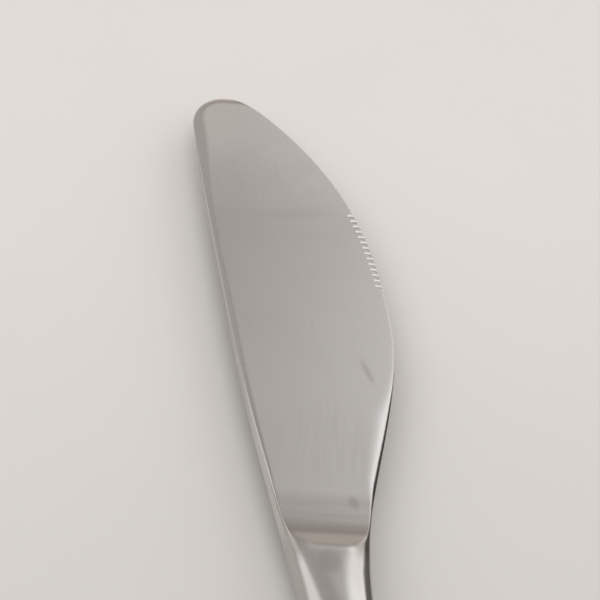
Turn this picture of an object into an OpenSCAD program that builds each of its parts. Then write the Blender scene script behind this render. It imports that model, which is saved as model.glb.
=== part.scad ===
// Butter knife with a forged blade and a hollow handle of two stamped shells.
// +X runs from the handle to the tip, +Y from the edge to the spine, +Z up through the blade.
// Outlines are worked out from the shoulder, where the ground blade meets its neck, and then
// moved so that the origin lies under the middle of the knife.

/* [Blade outline] */
// Length of the blade from its shoulder to the tip
blade_length = 82.8; // [78:0.1:90]
// Height of the spine above the handle axis where the nose begins
spine_height = 10.3; // [9.5:0.1:11.5]
// Height of the spine above the handle axis at the widest part of the blade
spine_mid_height = 8.75; // [8.2:0.05:9.3]
// Slope of the spine at the widest part, in degrees
spine_mid_slope = 2.9; // [1.5:0.1:4]
// Depth of the belly below the handle axis
belly_depth = 13.4; // [12:0.1:15]
// Distance from the shoulder to the widest part of the blade
belly_position = 36; // [32:0.5:40]
// Height of the foremost point of the nose above the handle axis
nose_height = 4.9; // [4:0.1:6]
// Length of the round nose along the blade
nose_length = 6.3; // [5.5:0.1:7.3]
// Drop from the foremost point to where the nose runs into the edge
nose_drop = 7.2; // [6.4:0.05:7.8]
// Slope of the edge where it runs into the nose, in degrees
nose_edge_slope = 36; // [33:0.5:39]

/* [Neck] */
// Length of the neck from the shoulder to the mouth of the handle
neck_length = 18; // [15:0.5:22]
// Width of the neck at the mouth of the handle
mouth_width = 8.4; // [7.6:0.1:9.4]
// Thickness of the neck at the mouth of the handle
neck_thickness = 7; // [6.4:0.1:7.6]
// Fullness of the neck's section at the shoulder, where 2 is an ellipse
neck_fullness = 5; // [4:0.1:6]
// Length of neck that grows fuller towards the shoulder
neck_square_length = 9; // [6:0.5:12]
// Length from the mouth of the handle over which the neck thins into the blade
neck_blend_length = 26; // [23:0.5:29]
// Slant of the neck towards the edge where it leaves the handle, in degrees
neck_slant = 3.5; // [2:0.5:5]
// Height of the shoulder above the handle axis on the spine side
shoulder_rise = 5.45; // [5:0.05:6]
// Slope of the spine at the shoulder, in degrees
shoulder_rise_slope = 7.6; // [6:0.1:9]
// Depth of the shoulder below the handle axis on the edge side
shoulder_fall = 5.85; // [5.4:0.05:6.4]
// Slope of the edge at the shoulder, in degrees
shoulder_fall_slope = 12.5; // [10:0.5:15]

/* [Grinding] */
// Thickness of the ground blade at the shoulder, on the handle axis
shoulder_thickness = 2.05; // [1.9:0.01:2.3]
// Thickness of the ground blade at the tip, on the handle axis
tip_thickness = 0.7; // [0.6:0.05:0.9]
// Lean of each ground face towards the edge, in degrees
face_lean = 2; // [1.6:0.1:2.2]
// Thickness of the forging at its rim for each millimetre that is left between the ground faces
rim_stock = 1.18; // [1.12:0.01:1.3]
// The same at the nose
nose_stock = 1.36; // [1.3:0.01:1.45]
// Fullness of the forging's section along the spine, which is left nearly square
spine_fullness = 7; // [6:0.5:9]
// Fullness of the forging's section round the nose
nose_fullness = 2.6; // [2.4:0.1:3.4]
// Fullness of the forging's section along the heel, which is rounded over
heel_fullness = 4.2; // [3.6:0.1:5]
// Distance from the shoulder to where the heel's rim starts to narrow
heel_length = 18; // [14:0.5:22]
// Length over which the heel's rim narrows to the edge
heel_fade_length = 19; // [15:0.5:24]
// Fullness of the forging's section along the edge
edge_fullness = 16; // [13:0.5:19]
// Length over which the faces start to rise before the shoulder
runout_length = 6; // [4:0.5:8]
// Radius of the rise before the shoulder
runout_radius = 110; // [80:5:150]
// Radius of the wheel that cuts the shoulder into the neck
shoulder_radius = 16; // [14:0.5:19]
// Slope at which the shoulder starts, in degrees
shoulder_slope = 5; // [4:0.5:7]

/* [Serration] */
// Number of teeth cut into the edge
tooth_count = 14; // [8:1:18]
// Distance from one tooth to the next along the edge
tooth_pitch = 1.12; // [1:0.02:1.3]
// Radius of the wheel that cuts each gullet
gullet_radius = 0.9; // [0.8:0.02:1.1]
// Depth of each gullet at the upper corner of the edge
gullet_depth = 0.085; // [0.06:0.005:0.11]
// Lean of the gullets from upright, so that each runs out on the upper face, in degrees
gullet_lean = 81; // [78:0.5:83]
// Distance from the shoulder to the first gullet
serration_start = 43.5; // [42:0.5:46]

/* [Tang] */
// Length of the spigot that enters the mouth of the handle
spigot_length = 5; // [3:0.5:8]
// Length of the flat tang behind the spigot
tang_length = 46; // [36:1:56]
// Width of the tang at its root
tang_root_width = 4.6; // [4:0.1:5.2]
// Width of the tang at its end
tang_end_width = 3.4; // [2.8:0.1:3.9]
// Thickness of the tang
tang_thickness = 2.6; // [2:0.1:3]
// Radius of the round notches that key the tang into the cement
notch_radius = 0.7; // [0.4:0.05:0.9]
// Number of notch pairs along the tang
notch_pairs = 3; // [1:1:5]

/* [Handle] */
// Length of the handle from its mouth to its butt
handle_length = 112; // [100:1:124]
// Width of the handle at its widest, near the butt
handle_width = 18; // [16:0.2:20]
// Thickness of the handle at its thickest, near the butt
handle_thickness = 9; // [8:0.1:10.4]
// Length of the rounded butt
butt_round_length = 11; // [8:0.5:14]
// Fullness of the handle's section, where 2 is an ellipse
handle_fullness = 2.4; // [2.1:0.1:3]
// Wall of each handle shell
shell_wall = 0.7; // [0.5:0.05:0.9]

/* [Fits] */
// Height of the brazed seam between the two shells
seam_height = 0.16; // [0.1:0.02:0.3]
// Gap between the neck and the mouth of the handle
mouth_gap = 0.05; // [0.03:0.01:0.1]
// Gap round the spigot inside the mouth of the handle
spigot_clearance = 0.08; // [0.05:0.01:0.15]
// Gap between the cement and the metal round it
cement_clearance = 0.04; // [0.02:0.01:0.1]

/* [Hidden] */

// Points round a full section, in fours so that each has one at the spine and one on top
section_points = 40;
// Points along one half section of a shell
shell_points = 20;

// Places along the knife, from the shoulder
crest_x = blade_length - nose_length;
bolster_x = -neck_length;
spigot_x = bolster_x - spigot_length;
handle_x = bolster_x - mouth_gap;
butt_x = handle_x - handle_length;

// Heights of the outline where its curves meet
mouth_half = mouth_width / 2;
nose_join_y = nose_height - nose_drop;
nose_join_fall = nose_length * tan(nose_edge_slope);

// Fall of each ground face towards the tip, and the two turns that lay a face in its plane
face_fall = (shoulder_thickness - tip_thickness) / 2 / blade_length;
fall_angle = atan(face_fall);
lean_angle = atan(tan(face_lean) * cos(fall_angle));

// Rise of the run-out at the shoulder
runout_rise = runout_radius - sqrt(pow(runout_radius, 2) - pow(runout_length, 2));

// Reach of a cutting shape beyond the forging
cut_reach = blade_length + neck_length;

// Smooth step from 0 to 1 as x goes from a to b
function ease(x, a, b) =
    let (u = min(max((x - a) / (b - a), 0), 1))
    u * u * (3 - 2 * u);

// Value of a and b mixed by t
function mix(a, b, t) = a + (b - a) * t;

// Signed power, for sections between an ellipse and a rectangle
function signed_pow(v, p) = sign(v) * pow(abs(v), p);

// Cubic through [x, y, slope in degrees] at a and at b
function cubic(x, a, b) =
    let (
        span = b[0] - a[0],
        u = (x - a[0]) / span,
        bend_a = span * tan(a[2]) * (u * u * u - 2 * u * u + u),
        bend_b = span * tan(b[2]) * (u * u * u - u * u)
    )
    mix(a[1], b[1], u * u * (3 - 2 * u)) + bend_a + bend_b;

// Upper outline: neck, spine, and a quarter ellipse over the nose
function spine_y(x) =
    let (
        mouth = [bolster_x, mouth_half, -neck_slant],
        shoulder = [0, shoulder_rise, shoulder_rise_slope],
        middle = [belly_position, spine_mid_height, spine_mid_slope],
        crest = [crest_x, spine_height, 0],
        u = min(max((x - crest_x) / nose_length, 0), 1)
    )
    x < 0 ? cubic(x, mouth, shoulder)
    : x < belly_position ? cubic(x, shoulder, middle)
    : x < crest_x ? cubic(x, middle, crest)
    : nose_height + (spine_height - nose_height) * sqrt(1 - u * u);

// Lower outline: neck, belly, rising edge, and a nose that starts straight and ends round
function edge_y(x) =
    let (
        mouth = [bolster_x, -mouth_half, -neck_slant],
        shoulder = [0, -shoulder_fall, -shoulder_fall_slope],
        belly = [belly_position, -belly_depth, 0],
        nose = [crest_x, nose_join_y, nose_edge_slope],
        left = 1 - min(max((x - crest_x) / nose_length, 0), 1),
        round_part = 2 * (nose_drop - nose_join_fall),
        straight_part = 2 * nose_join_fall - nose_drop
    )
    x < 0 ? cubic(x, mouth, shoulder)
    : x < belly_position ? cubic(x, shoulder, belly)
    : x < crest_x ? cubic(x, belly, nose)
    : nose_height - round_part * sqrt(left) - straight_part * left;

// Slope of the edge in degrees, over a short step
function edge_slope(x, step = 0.1) = atan((edge_y(x + step) - edge_y(x - step)) / (2 * step));

// Half thickness of the blade between its ground faces
function face_z(x, y) = shoulder_thickness / 2 - face_fall * x + tan(face_lean) * y;

// Share of the blade's section, from 0 at the mouth of the handle to 1 in the blade
function blade_share(x) = ease(x, bolster_x, bolster_x + neck_blend_length);

// Half thickness of the forging on the top of its section
function forging_z(x, y) =
    let (
        u = min(max((x - crest_x) / nose_length, 0), 1),
        nose_rounding = pow(1 - pow(u, nose_fullness), 1 / nose_fullness),
        stock = mix(rim_stock, nose_stock, ease(x, belly_position, crest_x))
    )
    mix(neck_thickness / 2, stock * face_z(x, y), blade_share(x)) * nose_rounding;

// Fullness of the forging's section at x, on the side of the edge or of the spine
function fullness(x, edge_side) =
    let (
        neck = mix(handle_fullness, neck_fullness, ease(x, -neck_square_length, 0)),
        edge = mix(heel_fullness, edge_fullness, ease(x, heel_length, heel_length + heel_fade_length)),
        spine = mix(spine_fullness, nose_fullness, ease(x, heel_length, crest_x))
    )
    mix(neck, edge_side ? edge : spine, blade_share(x));

// One section of the forging at x: a superellipse that leans with the blade
function forging_ring(x) =
    let (top = spine_y(x), bottom = edge_y(x))
    [for (i = [0 : section_points - 1])
        let (
            a = 360 * i / section_points,
            power = 2 / fullness(x, cos(a) < 0),
            y = (top + bottom) / 2 + (top - bottom) / 2 * signed_pow(cos(a), power)
        )
        [x, y, forging_z(x, y) * signed_pow(sin(a), power)]];

// One section of the spigot at x, inside the mouth of the handle
function spigot_ring(x) =
    let (
        inset = shell_wall + spigot_clearance,
        power = 2 / handle_fullness
    )
    [for (i = [0 : section_points - 1])
        let (a = 360 * i / section_points)
        [
            x,
            (mouth_half - inset) * signed_pow(cos(a), power),
            (neck_thickness / 2 - inset) * signed_pow(sin(a), power)
        ]];

// Triangles between rings of n points that follow each other
function skin(rings, n) = [
    for (r = [0 : rings - 2], i = [0 : n - 1])
        let (a = r * n + i, b = r * n + (i + 1) % n)
        each [[a, a + n, b], [b, a + n, b + n]]
];

// Triangles from the last of the rings to one point
function fan(rings, n, tip) = [
    for (i = [0 : n - 1])
        [(rings - 1) * n + i, tip, (rings - 1) * n + (i + 1) % n]
];

// Places of the forging's sections: neck, heel, blade, and the nose in equal turns
forging_x = concat(
    [for (i = [0 : 10]) mix(bolster_x, 0, i / 10)],
    [for (i = [1 : 7]) heel_length * i / 7],
    [for (i = [1 : 6]) mix(heel_length, belly_position, i / 6)],
    [for (i = [1 : 10]) mix(belly_position, crest_x, i / 10)],
    [for (i = [1 : 8]) crest_x + nose_length * sin(90 * i / 9)]
);

// Moves a piece from the shoulder's frame to the knife's frame
module place() {
    translate([
        -(blade_length + butt_x) / 2,
        -(spine_height - belly_depth) / 2,
        handle_thickness / 2
    ])
        children();
}

// Forging of neck, blade and spigot, before grinding
module forging() {
    rings = concat(
        [spigot_ring(spigot_x), spigot_ring(bolster_x)],
        [for (x = forging_x) forging_ring(x)]
    );
    tip = [blade_length, nose_height, 0];
    n = section_points;
    back = [[for (i = [0 : n - 1]) i]];
    polyhedron(
        points = concat([for (r = rings) each r], [tip]),
        faces = concat(back, skin(len(rings), n), fan(len(rings), n, len(rings) * n))
    );
}

// Side view of what the wheel takes off one face: flat, run-out and shoulder
module grind_profile() {
    translate([runout_length, 0])
        square([cut_reach, shoulder_radius]);
    intersection() {
        translate([runout_length, runout_radius])
            circle(r = runout_radius, $fn = 360);
        square([runout_length, shoulder_radius]);
    }
    intersection() {
        translate([
            shoulder_radius * sin(shoulder_slope),
            runout_rise + shoulder_radius * cos(shoulder_slope)
        ])
            circle(r = shoulder_radius, $fn = 180);
        translate([-shoulder_radius, 0])
            square([shoulder_radius, shoulder_radius]);
    }
}

// What is ground off the upper face
module grind() {
    translate([0, 0, shoulder_thickness / 2])
        rotate([lean_angle, fall_angle, 0])
            rotate([90, 0, 0])
                linear_extrude(height = cut_reach, center = true)
                    grind_profile();
}

// Gullets of the serration, along the edge
module serration() {
    middle = serration_start + tooth_pitch * (tooth_count - 1) / 2;
    step = tooth_pitch * cos(edge_slope(middle));
    for (i = [0 : tooth_count - 1]) {
        x = serration_start + step * i;
        corner = face_z(x, edge_y(x)) * sin(gullet_lean);
        translate([x, edge_y(x), 0])
            rotate([0, 0, edge_slope(x)])
                rotate([-gullet_lean, 0, 0])
                    translate([0, gullet_depth - gullet_radius - corner, 0])
                        cylinder(r = gullet_radius, h = neck_thickness, center = true, $fn = 72);
    }
}

// Flat tang, grown by a gap on every side
module tang(gap = 0) {
    end_x = spigot_x - tang_length;
    root_x = spigot_x + spigot_length / 2;
    root_half = tang_root_width / 2;
    end_half = tang_end_width / 2;
    linear_extrude(height = tang_thickness + 2 * gap, center = true)
        difference() {
            polygon([
                [root_x, root_half + gap],
                [end_x - gap, end_half + gap],
                [end_x - gap, -end_half - gap],
                [root_x, -root_half - gap]
            ]);
            for (i = [1 : notch_pairs], side = [-1, 1]) {
                t = i / (notch_pairs + 1);
                translate([mix(spigot_x, end_x, t), side * mix(root_half, end_half, t)])
                    circle(r = notch_radius - gap, $fn = 32);
            }
        }
}

// Forged blade with its neck, ground faces, serrated edge, spigot and tang
module blade() {
    color("silver")
        place() {
            difference() {
                forging();
                grind();
                mirror([0, 0, 1])
                    grind();
                serration();
            }
            tang();
        }
}

// Half width and half thickness of the handle at a distance from its mouth, less an inset
function handle_half(d, inset) =
    let (
        body = handle_length - butt_round_length,
        t = ease(d, 0, body),
        u = min(max((d - body) / (butt_round_length - inset), 0), 1),
        width = mix(mouth_half, handle_width / 2, t) - inset,
        thickness = mix(neck_thickness / 2, handle_thickness / 2, t) - inset
    )
    [width * sqrt(1 - u * u), thickness * pow(1 - pow(u, 3), 1 / 3)];

// Distances from the mouth of a shell's rings, which close on the butt less an inset
function handle_stations(inset) =
    let (body = handle_length - butt_round_length)
    concat(
        [for (i = [0 : 15]) body * i / 15],
        [for (i = [1 : 7]) body + (butt_round_length - inset) * sin(90 * i / 8)]
    );

// One arc of a shell at a distance from its mouth, from the spine side over the top
function shell_arc(d, inset, points) =
    let (
        half = handle_half(d, inset),
        power = 2 / handle_fullness,
        foot = seam_height / 2
    )
    [for (i = [0 : points])
        let (a = 180 * i / points)
        [
            handle_x - d,
            half[0] * signed_pow(cos(a), power),
            foot + max(half[1] - foot, 0) * pow(abs(sin(a)), power)
        ]];

// Half shell above the seam: an outer and an inner skin, joined at the mouth and along the rim
module half_shell() {
    n = shell_points + 1;
    outer = [for (d = handle_stations(0)) shell_arc(d, 0, shell_points)];
    inner = [for (d = handle_stations(shell_wall)) shell_arc(d, shell_wall, shell_points)];
    rings = len(outer);
    inside = rings * n;
    last = (rings - 1) * n;
    outer_tip = 2 * inside;
    inner_tip = outer_tip + 1;
    foot = seam_height / 2;
    walls = [for (r = [0 : rings - 2], i = [0 : n - 2])
        let (a = r * n + i, b = a + inside)
        each [
            [a, a + 1, a + n], [a + 1, a + n + 1, a + n],
            [b, b + n, b + 1], [b + 1, b + n, b + n + 1]
        ]];
    mouth = [for (i = [0 : n - 2])
        each [[i, inside + i, i + 1], [i + 1, inside + i, inside + i + 1]]];
    butt = [for (i = [0 : n - 2])
        each [
            [last + i, last + i + 1, outer_tip],
            [inside + last + i, inner_tip, inside + last + i + 1]
        ]];
    rims = [for (r = [0 : rings - 2])
        let (a = r * n, b = a + inside, c = a + n - 1, d = c + inside)
        each [
            [a, a + n, b], [a + n, b + n, b],
            [c, d, c + n], [c + n, d, d + n]
        ]];
    rim_ends = [
        [last, outer_tip, inside + last], [outer_tip, inner_tip, inside + last],
        [last + n - 1, inside + last + n - 1, outer_tip],
        [outer_tip, inside + last + n - 1, inner_tip]
    ];
    polyhedron(
        points = concat(
            [for (r = outer) each r],
            [for (r = inner) each r],
            [[butt_x, 0, foot], [butt_x + shell_wall, 0, foot]]
        ),
        faces = concat(walls, mouth, butt, rims, rim_ends)
    );
}

// Upper shell of the handle
module front_handle_shell() {
    color("gainsboro")
        place()
            half_shell();
}

// Lower shell of the handle, its mirror image
module back_handle_shell() {
    color("gainsboro")
        place()
            mirror([0, 0, 1])
                half_shell();
}

// Outline of the handle in plan, less an inset
function handle_plan(inset) =
    let (
        stations = handle_stations(inset),
        tip = [butt_x + inset, 0],
        side = [for (d = stations) [handle_x - d, handle_half(d, inset)[0]]],
        last = len(side) - 1
    )
    concat(side, [tip], [for (i = [last : -1 : 0]) [side[i][0], -side[i][1]]]);

// Brazing filler between the rims of the two shells
module seam_braze() {
    color("darkkhaki")
        place()
            linear_extrude(height = seam_height, center = true)
                polygon(concat(
                    handle_plan(0),
                    [for (i = [len(handle_plan(shell_wall)) - 1 : -1 : 0]) handle_plan(shell_wall)[i]]
                ));
}

// One full section of the cement at a distance from the mouth
function cement_ring(d, inset) =
    let (
        half = handle_half(d, inset),
        power = 2 / handle_fullness
    )
    [for (i = [0 : shell_points - 1])
        let (a = 360 * i / shell_points)
        [handle_x - d, half[0] * signed_pow(cos(a), power), half[1] * signed_pow(sin(a), power)]];

// Cement that fills the handle behind the spigot and holds the tang
module cement_core() {
    inset = shell_wall + cement_clearance;
    start = spigot_length - mouth_gap + cement_clearance;
    stations = concat([start], [for (d = handle_stations(inset)) if (d > start) d]);
    rings = [for (d = stations) cement_ring(d, inset)];
    n = shell_points;
    tip = [butt_x + inset, 0, 0];
    front = [[for (i = [n - 1 : -1 : 0]) i]];
    turned = [for (f = concat(skin(len(rings), n), fan(len(rings), n, len(rings) * n))) [f[2], f[1], f[0]]];
    color("tan")
        place()
            difference() {
                polyhedron(
                    points = concat([for (r = rings) each r], [tip]),
                    faces = concat(front, turned)
                );
                tang(cement_clearance);
            }
}

blade();
front_handle_shell();
back_handle_shell();
seam_braze();
cement_core();
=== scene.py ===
"""Butter knife: a forged and ground blade with a fine serrated edge on a hollow handle of two brazed shells.

Laid out as an add-on and run as a script. Lengths are in metres. The blade is worked out from its shoulder,
where the ground faces meet the neck: x runs to the tip, y to the spine and z up through the blade.
"""

import math

import bmesh
import bpy
import numpy as np
from mathutils import Matrix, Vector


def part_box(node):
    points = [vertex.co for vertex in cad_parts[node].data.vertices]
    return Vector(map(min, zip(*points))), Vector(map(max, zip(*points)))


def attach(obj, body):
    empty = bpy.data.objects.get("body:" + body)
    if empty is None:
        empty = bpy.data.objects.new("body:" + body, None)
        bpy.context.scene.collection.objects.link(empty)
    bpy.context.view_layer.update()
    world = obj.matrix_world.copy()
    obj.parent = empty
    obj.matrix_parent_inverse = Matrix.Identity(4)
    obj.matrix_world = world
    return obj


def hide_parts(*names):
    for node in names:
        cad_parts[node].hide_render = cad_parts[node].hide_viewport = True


bl_info = {
    "name": "Butter knife",
    "version": (1, 0, 0),
    "blender": (4, 5, 0),
    "location": "3D View > Sidebar > Knife",
    "description": "Builds a butter knife with a ground and serrated blade on a hollow handle",
    "category": "Add Mesh",
}

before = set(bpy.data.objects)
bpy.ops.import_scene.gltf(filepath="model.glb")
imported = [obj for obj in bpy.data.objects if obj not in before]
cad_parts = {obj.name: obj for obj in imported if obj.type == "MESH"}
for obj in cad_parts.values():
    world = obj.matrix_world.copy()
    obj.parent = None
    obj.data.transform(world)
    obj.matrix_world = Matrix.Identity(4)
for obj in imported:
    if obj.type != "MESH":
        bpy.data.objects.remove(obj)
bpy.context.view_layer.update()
BODY = "root"
MM = 0.001

# Places and sizes that the pieces share with the solid model
BLADE_LOW, BLADE_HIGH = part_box("blade")
FRONT_LOW, FRONT_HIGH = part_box("front_handle_shell")
BACK_LOW, BACK_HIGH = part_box("back_handle_shell")
MOUTH_X = FRONT_HIGH.x
AXIS_Y = (FRONT_LOW.y + FRONT_HIGH.y) / 2
AXIS_Z = (FRONT_HIGH.z + BACK_LOW.z) / 2

# How fine the meshes are
NOSE_SECTIONS = 44
RIM_POINTS = 38
FACE_POINTS = 34
SPINE_CROWDING = 2
EDGE_CROWDING = 1.7
BODY_SECTIONS = 90
BUTT_SECTIONS = 40
ARC_POINTS = 85
DOUBLES = 2e-8
BLADE_SHARP = math.radians(50)
HANDLE_SHARP = math.radians(40)


# Properties


def length(name, default, description):
    """A length in metres."""
    return bpy.props.FloatProperty(
        name=name, description=description, default=default, precision=5, unit="LENGTH", subtype="DISTANCE"
    )


def angle(name, degrees, description):
    """An angle, given here in degrees."""
    return bpy.props.FloatProperty(
        name=name, description=description, default=math.radians(degrees), unit="ROTATION", subtype="ANGLE"
    )


def number(name, default, description):
    """A plain number, such as the fullness of a section."""
    return bpy.props.FloatProperty(name=name, description=description, default=default, min=0)


def share(name, default, description):
    """A share from 0 to 1."""
    return bpy.props.FloatProperty(
        name=name, description=description, default=default, min=0, max=1, subtype="FACTOR"
    )


def count(name, default, description):
    """A whole number."""
    return bpy.props.IntProperty(name=name, description=description, default=default, min=1)


def colour(name, default, description):
    """A linear colour."""
    return bpy.props.FloatVectorProperty(
        name=name, description=description, default=default, size=3, min=0, max=1, subtype="COLOR"
    )


class BladeSizes(bpy.types.PropertyGroup):
    """Sizes of the forging, its ground faces and its edge"""

    mouth_gap: length("Mouth gap", 0.05 * MM, "Gap between the neck and the mouth of the handle")
    neck_length: length("Neck length", 18 * MM, "From the mouth of the handle to the shoulder")
    mouth_width: length("Mouth width", 8.4 * MM, "Width of the neck at the mouth of the handle")
    neck_thickness: length("Neck thickness", 7.0 * MM, "Thickness of the neck")
    mouth_fullness: number("Mouth fullness", 2.4, "Fullness of the neck at the mouth, where 2 is an ellipse")
    neck_fullness: number("Neck fullness", 5.0, "Fullness of the neck's section at the shoulder")
    neck_square_length: length("Neck squaring", 9 * MM, "Length of neck that grows fuller to the shoulder")
    spine_height: length("Spine height", BLADE_HIGH.y - AXIS_Y, "Height of the spine where the nose begins")
    spine_mid_height: length("Mid spine height", 8.75 * MM, "Height of the spine at the widest part")
    spine_mid_slope: angle("Mid spine slope", 2.9, "Slope of the spine at the widest part")
    belly_depth: length("Belly depth", AXIS_Y - BLADE_LOW.y, "Depth of the belly below the handle's axis")
    belly_position: length("Belly position", 36 * MM, "From the shoulder to the widest part")
    nose_height: length("Nose height", 4.9 * MM, "Height of the foremost point of the nose")
    nose_length: length("Nose length", 6.3 * MM, "Length of the round nose")
    nose_drop: length("Nose drop", 7.2 * MM, "From the foremost point down to where the edge begins")
    nose_edge_slope: angle("Nose edge slope", 36, "Slope of the edge where it runs into the nose")
    neck_slant: angle("Neck slant", 3.5, "Slant of the neck to the edge's side where it leaves the handle")
    shoulder_rise: length("Shoulder rise", 5.45 * MM, "Height of the shoulder on the spine side")
    shoulder_rise_slope: angle("Shoulder rise slope", 7.6, "Slope of the spine at the shoulder")
    shoulder_fall: length("Shoulder fall", 5.85 * MM, "Depth of the shoulder on the edge side")
    shoulder_fall_slope: angle("Shoulder fall slope", 12.5, "Slope of the edge at the shoulder")
    shoulder_thickness: length("Shoulder thickness", 2.05 * MM, "Ground thickness at the shoulder")
    tip_thickness: length("Tip thickness", 0.7 * MM, "Ground thickness at the tip")
    face_lean: angle("Face lean", 2.0, "Lean of each ground face towards the edge")
    rim_stock: number("Rim stock", 1.18, "Thickness of the rim for each unit between the ground faces")
    nose_stock: number("Nose stock", 1.36, "The same at the nose")
    spine_fullness: number("Spine fullness", 7, "Fullness of the section along the spine")
    nose_fullness: number("Nose fullness", 2.6, "Fullness of the section round the nose")
    nose_round_start: length("Nose round start", 45 * MM, "From the shoulder to where the spine rounds off")
    heel_fullness: number("Heel fullness", 4.2, "Fullness of the section along the heel")
    heel_length: length("Heel length", 18 * MM, "From the shoulder to where the heel's rim starts to narrow")
    heel_fade_length: length("Heel fade", 19 * MM, "Length over which the heel's rim narrows to the edge")
    edge_fullness: number("Edge fullness", 22, "Fullness of the section along the edge")
    runout_length: length("Run-out length", 6 * MM, "Length over which the faces rise before the shoulder")
    runout_radius: length("Run-out radius", 110 * MM, "Radius of the rise before the shoulder")
    shoulder_radius: length("Shoulder radius", 16 * MM, "Radius of the wheel that cuts the shoulder")
    shoulder_slope: angle("Shoulder slope", 5, "Slope at which the shoulder starts")
    neck_blend_length: length("Neck blend", 26 * MM, "Length from the mouth over which the neck thins")
    blade_crease: length("Blade crease", 0.07 * MM, "Height over which creases on the blade are rounded")
    shoulder_crease: length("Shoulder crease", 0.40 * MM, "Height over which the shoulder is rounded")


class EdgeSizes(bpy.types.PropertyGroup):
    """Sizes of the teeth along the edge"""

    tooth_count: count("Teeth", 14, "Number of gullets cut into the edge")
    tooth_pitch: length("Tooth pitch", 1.12 * MM, "From one tooth to the next along the edge")
    gullet_radius: length("Gullet radius", 1.15 * MM, "Radius of the wheel that cuts each gullet")
    gullet_depth: length("Gullet depth", 0.115 * MM, "Depth of each gullet at the upper corner of the edge")
    gullet_lean: angle("Gullet lean", 81, "Lean of the gullets from upright, out onto the upper face")
    serration_start: length("Serration start", 43.5 * MM, "From the shoulder to the first gullet")


class TangSizes(bpy.types.PropertyGroup):
    """Sizes of the spigot and tang inside the handle"""

    spigot_length: length("Spigot length", 5 * MM, "Length of the spigot inside the mouth")
    spigot_inset: length("Spigot inset", 0.78 * MM, "From the neck's outside to the spigot")
    spigot_fullness: number("Spigot fullness", 2.4, "Fullness of the spigot's section")
    tang_root_width: length("Tang root width", 4.6 * MM, "Width of the tang at its root")
    tang_end_width: length("Tang end width", 3.4 * MM, "Width of the tang at its end")
    tang_thickness: length("Tang thickness", 2.6 * MM, "Thickness of the tang")
    tang_fullness: number("Tang fullness", 24, "Fullness of the tang's section, which is nearly a rectangle")
    notch_radius: length("Notch radius", 0.7 * MM, "Radius of the notches that key the tang into the cement")
    notch_pairs: count("Notch pairs", 3, "Number of notch pairs along the tang")


class HandleSizes(bpy.types.PropertyGroup):
    """Sizes of the hollow handle"""

    handle_length: length("Handle length", FRONT_HIGH.x - FRONT_LOW.x, "From the mouth to the butt")
    handle_width: length("Handle width", FRONT_HIGH.y - FRONT_LOW.y, "Width near the butt")
    handle_thickness: length("Handle thickness", FRONT_HIGH.z - BACK_LOW.z, "Thickness near the butt")
    butt_round_length: length("Butt round", 11 * MM, "Length of the rounded butt")
    handle_fullness: number("Handle fullness", 2.4, "Fullness of the section, where 2 is an ellipse")
    shell_wall: length("Shell wall", 0.7 * MM, "Wall of each shell")
    seam_height: length("Seam height", FRONT_LOW.z - BACK_HIGH.z, "Height of the brazed seam")


class Finishes(bpy.types.PropertyGroup):
    """Colours and finishes of the metal and the filler"""

    steel: colour("Steel", (0.52, 0.503, 0.487), "Colour of the blade's steel")
    steel_worn: colour("Worn steel", (0.45, 0.432, 0.415), "Colour of scuffed or stained steel")
    satin: share("Satin", 0.29, "Roughness of the ground faces")
    polish: share("Polish", 0.18, "Roughness of the polished neck and rims")
    handle_steel: colour("Handle steel", (0.56, 0.54, 0.52), "Colour of the handle's steel")
    braze: colour("Braze", (0.66, 0.62, 0.50), "Colour of the brazing filler")
    cement: colour("Cement", (0.62, 0.55, 0.44), "Colour of the cement in the handle")


class WearAndShade(bpy.types.PropertyGroup):
    """How strongly marks, darkening and painted shade show on the blade"""

    scuff: share("Scuff", 0.7, "Scuff above the heel")
    stain: share("Stain", 0.6, "Cloudy stain near the tip")
    dot: share("Dot", 0.5, "Small dot in the middle of the face")
    streak: share("Streak", 0.28, "Wide streak across the upper part of the face")
    rubs: share("Rubs", 0.3, "Rubbed patch above the shoulder")
    clouds: share("Clouds", 0.25, "Faint clouds all over the faces")
    # Painted shade in brown bands, where the faces rise into the shoulder
    bands: share("Bands", 0.73, "Painted shade in bands across the shoulder, where they are darkest")
    smudge: share("Smudge", 0.35, "Smudge above the shoulder")
    # Painted shade on the neck's crown
    crown_shade: share("Crown shade", 0.4, "Crown shade on the neck")
    # Darkens the rim on the edge's side of the neck
    neck_side: share("Neck side", 0.9, "Darkening on the edge's side of the neck")
    # Painted shade on the rim along the edge
    edge_rim: share("Edge rim", 0.6, "Painted shade on the rim along the edge")
    # Darkens the rim where the spine bends into the neck
    bend: share("Bend", 0.6, "Darkening where the spine bends into the neck")


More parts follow.
